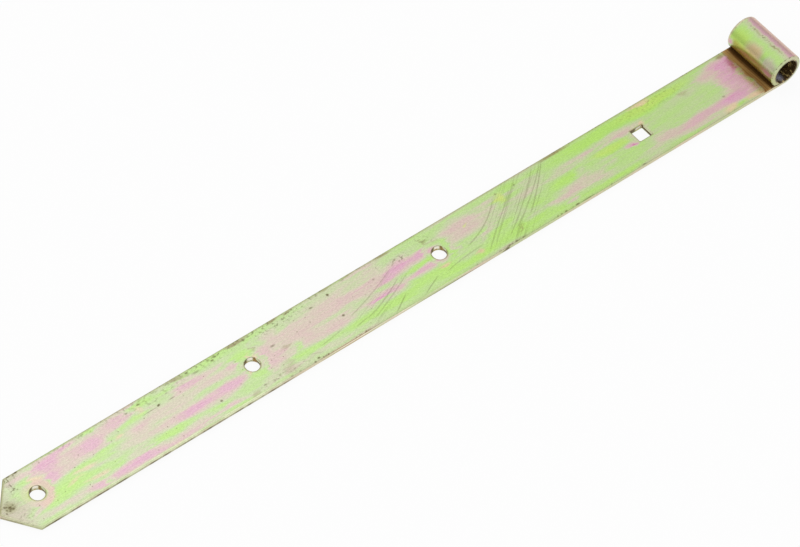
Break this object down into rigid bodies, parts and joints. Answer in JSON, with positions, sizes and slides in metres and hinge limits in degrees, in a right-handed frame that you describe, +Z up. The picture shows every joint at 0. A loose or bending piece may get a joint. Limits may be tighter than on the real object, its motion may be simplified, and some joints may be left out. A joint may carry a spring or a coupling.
{
  "type": "gate hinge strap",
  "caption": "Long flat steel hinge strap with a rolled eye for a hook pin at one end, a blunt point at the other, round screw holes and a square bolt hole along it.",
  "frame": {"origin": "on the pin axis, midway across the strap", "axes": "+Y along the pin axis, +X from the strap towards the eye, +Z up out of the face that the eye stands on"},
  "size_m": [0.4999, 0.0358, 0.0198],
  "materials": {
    "yellow_zinc": "yellow chromated zinc plate, iridescent green, pink and gold, satin"
  },
  "bodies": {
    "root": {"hinge_strap": "yellow_zinc"}
  },
  "joints": []
}
